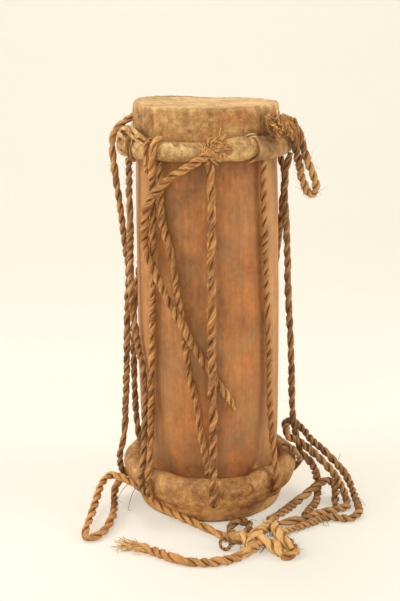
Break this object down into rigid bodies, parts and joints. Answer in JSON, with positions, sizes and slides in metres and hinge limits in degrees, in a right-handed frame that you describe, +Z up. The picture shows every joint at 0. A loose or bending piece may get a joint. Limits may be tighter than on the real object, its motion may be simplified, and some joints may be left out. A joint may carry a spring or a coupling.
{
  "type": "rope-laced cylindrical drum",
  "caption": "Tall cylindrical drum: a hollow wooden shell closed by lapped hide heads on bent hoops, drawn together by twisted cord lacing with loose ends.",
  "frame": {"origin": "centre of the bottom head's flat face, where the drum stands", "axes": "+Z up the drum's axis to the playing face; the pictured front faces -Y; +X to the viewer's right"},
  "size_m": [0.3178, 0.296, 0.465],
  "materials": {
    "shell": "waxed, worn",
    "top_head": "dry rawhide",
    "bottom_head": "dry rawhide",
    "top_hoop": "bare bent withy",
    "bottom_hoop": "bare bent withy",
    "lacing_front": "two-ply plant fibre",
    "lacing_front_left": "two-ply plant fibre",
    "front_left_hitch": "two-ply plant fibre",
    "lacing_slant": "two-ply plant fibre",
    "lacing_front_right": "two-ply plant fibre",
    "lacing_left_outer": "two-ply plant fibre",
    "lacing_left_inner": "two-ply plant fibre",
    "lacing_left_rear": "two-ply plant fibre",
    "lacing_right_outer": "two-ply plant fibre",
    "lacing_right_rear": "two-ply plant fibre",
    "lacing_back_right": "two-ply plant fibre",
    "lacing_back": "two-ply plant fibre",
    "lacing_back_left": "two-ply plant fibre",
    "bottom_right_hitch": "two-ply plant fibre",
    "top_right_knot": "two-ply plant fibre",
    "top_right_bight": "two-ply plant fibre",
    "loose_tail": "two-ply plant fibre",
    "left_loop": "two-ply plant fibre",
    "floor_knot": "two-ply plant fibre",
    "floor_tail": "two-ply plant fibre",
    "floor_bight": "two-ply plant fibre",
    "floor_back_bight": "two-ply plant fibre",
    "hank_front_strand": "two-ply plant fibre",
    "hank_rear_strand": "two-ply plant fibre",
    "hank_short_strand": "two-ply plant fibre",
    "hank_crossing_strand": "two-ply plant fibre"
  },
  "bodies": {
    "drum_shell": {"shell": "shell", "lacing_front": "lacing_front", "lacing_front_left": "lacing_front_left", "front_left_hitch": "front_left_hitch", "lacing_slant": "lacing_slant", "lacing_front_right": "lacing_front_right", "lacing_left_outer": "lacing_left_outer", "lacing_left_inner": "lacing_left_inner", "lacing_left_rear": "lacing_left_rear", "lacing_right_outer": "lacing_right_outer", "lacing_right_rear": "lacing_right_rear", "lacing_back_right": "lacing_back_right", "lacing_back": "lacing_back", "lacing_back_left": "lacing_back_left"},
    "top_head_and_hoop": {"top_head": "top_head", "top_hoop": "top_hoop", "top_right_knot": "top_right_knot", "top_right_bight": "top_right_bight", "loose_tail": "loose_tail"},
    "bottom_head_and_hoop": {"bottom_head": "bottom_head", "bottom_hoop": "bottom_hoop", "bottom_right_hitch": "bottom_right_hitch", "left_loop": "left_loop", "floor_knot": "floor_knot", "floor_tail": "floor_tail", "floor_bight": "floor_bight", "floor_back_bight": "floor_back_bight", "hank_front_strand": "hank_front_strand", "hank_rear_strand": "hank_rear_strand", "hank_short_strand": "hank_short_strand", "hank_crossing_strand": "hank_crossing_strand"}
  },
  "joints": [
    {"name": "top_head_slide", "type": "slide", "parent": "drum_shell", "child": "top_head_and_hoop", "axis": [0, 0, 1], "range_m": [0, 0.006], "deforming": ["lacing_front", "lacing_front_left", "front_left_hitch", "lacing_slant", "lacing_front_right", "lacing_left_outer", "lacing_left_inner", "lacing_left_rear", "lacing_right_outer", "lacing_right_rear", "lacing_back_right", "lacing_back", "lacing_back_left"]},
    {"name": "bottom_head_slide", "type": "slide", "parent": "drum_shell", "child": "bottom_head_and_hoop", "axis": [0, 0, -1], "range_m": [0, 0.006], "deforming": ["lacing_front", "lacing_front_left", "front_left_hitch", "lacing_slant", "lacing_front_right", "lacing_left_outer", "lacing_left_inner", "lacing_left_rear", "lacing_right_outer", "lacing_right_rear", "lacing_back_right", "lacing_back", "lacing_back_left"]}
  ]
}
